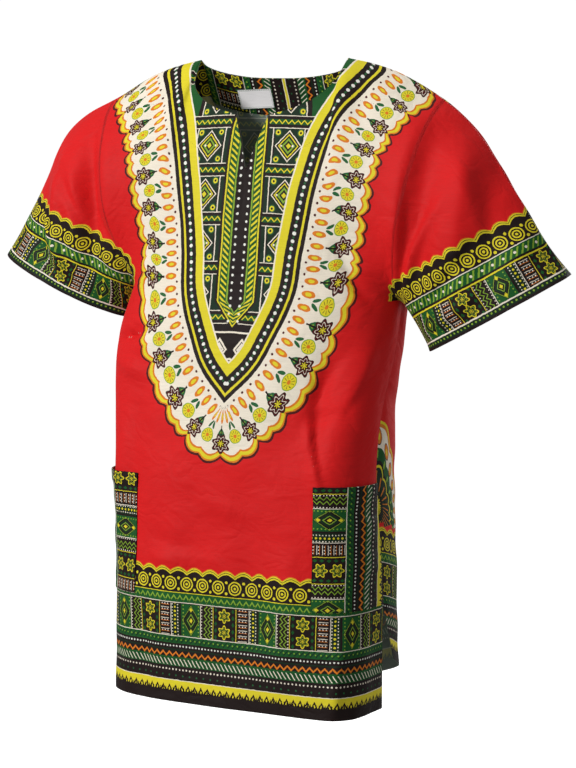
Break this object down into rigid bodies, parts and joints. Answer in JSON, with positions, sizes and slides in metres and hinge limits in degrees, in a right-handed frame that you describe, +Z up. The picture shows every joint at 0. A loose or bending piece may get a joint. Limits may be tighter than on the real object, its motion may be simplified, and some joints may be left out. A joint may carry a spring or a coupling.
{
  "type": "dashiki shirt",
  "caption": "Short-sleeved pull-over shirt with sleeves cut in one, a round neck with a V slit, patch pockets and side slits, worn open and hollow.",
  "frame": {"origin": "midway between the two neck points, level with them, where the wearer's shoulders hold the shirt", "axes": "+Z up, the front faces -Y, +X is the wearer's left"},
  "size_m": [0.769, 0.205, 0.7572],
  "materials": {
    "body_cloth": "printed plain-weave cotton, matt",
    "facing_cloth": "printed plain-weave cotton, matt",
    "label_cloth": "smooth woven tape, bare",
    "pocket_cloth": "printed plain-weave cotton, matt"
  },
  "bodies": {
    "root": {"front": "body_cloth", "back": "body_cloth", "back_neck_facing": "facing_cloth", "label": "label_cloth", "pocket_left": "pocket_cloth", "pocket_right": "pocket_cloth"}
  },
  "joints": []
}
